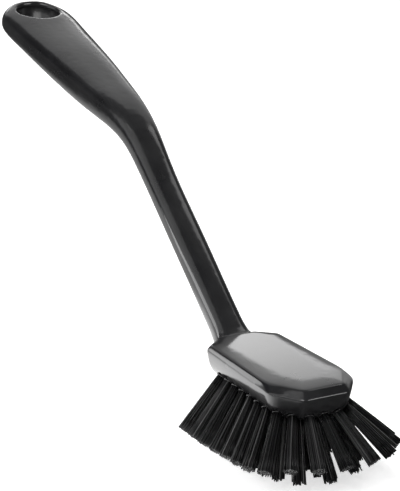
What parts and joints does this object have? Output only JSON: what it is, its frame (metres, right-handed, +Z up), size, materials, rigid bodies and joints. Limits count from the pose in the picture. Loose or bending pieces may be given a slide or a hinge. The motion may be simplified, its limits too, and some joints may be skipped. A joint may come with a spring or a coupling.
{
  "type": "dish brush",
  "caption": "Long-handled dish brush: one moulded body with a bevelled head, an angled shaft and a broad grip with a hanging hole, drilled below for fanned bristle tufts.",
  "frame": {"origin": "centre of the box's bottom face, level with the lowest bristle tips", "axes": "+X along the head towards its front, +Y across the head, +Z up, square to the head's flat top"},
  "size_m": [0.2806, 0.0622, 0.1363],
  "materials": {
    "body": "black moulded polypropylene with a soft satin gloss",
    "bristle": "black polyester filaments with cut ends",
    "anchor": "plain flat steel wire"
  },
  "bodies": {
    "root": {"bristle_anchors": "anchor", "brush_body": "body", "inner_tuft_01": "bristle", "inner_tuft_02": "bristle", "inner_tuft_03": "bristle", "inner_tuft_04": "bristle", "inner_tuft_05": "bristle", "inner_tuft_06": "bristle", "inner_tuft_07": "bristle", "inner_tuft_08": "bristle", "inner_tuft_09": "bristle", "inner_tuft_10": "bristle", "inner_tuft_11": "bristle", "inner_tuft_12": "bristle", "inner_tuft_13": "bristle", "inner_tuft_14": "bristle", "inner_tuft_15": "bristle", "inner_tuft_16": "bristle", "inner_tuft_17": "bristle", "middle_tuft_01": "bristle", "middle_tuft_02": "bristle", "middle_tuft_03": "bristle", "middle_tuft_04": "bristle", "middle_tuft_05": "bristle", "middle_tuft_06": "bristle", "middle_tuft_07": "bristle", "outer_tuft_01": "bristle", "outer_tuft_02": "bristle", "outer_tuft_03": "bristle", "outer_tuft_04": "bristle", "outer_tuft_05": "bristle", "outer_tuft_06": "bristle", "outer_tuft_07": "bristle", "outer_tuft_08": "bristle", "outer_tuft_09": "bristle", "outer_tuft_10": "bristle", "outer_tuft_11": "bristle", "outer_tuft_12": "bristle", "outer_tuft_13": "bristle", "outer_tuft_14": "bristle", "outer_tuft_15": "bristle", "outer_tuft_16": "bristle", "outer_tuft_17": "bristle", "outer_tuft_18": "bristle", "outer_tuft_19": "bristle", "outer_tuft_20": "bristle", "outer_tuft_21": "bristle", "rear_tuft_01": "bristle", "rear_tuft_02": "bristle", "rear_tuft_03": "bristle"}
  },
  "joints": []
}
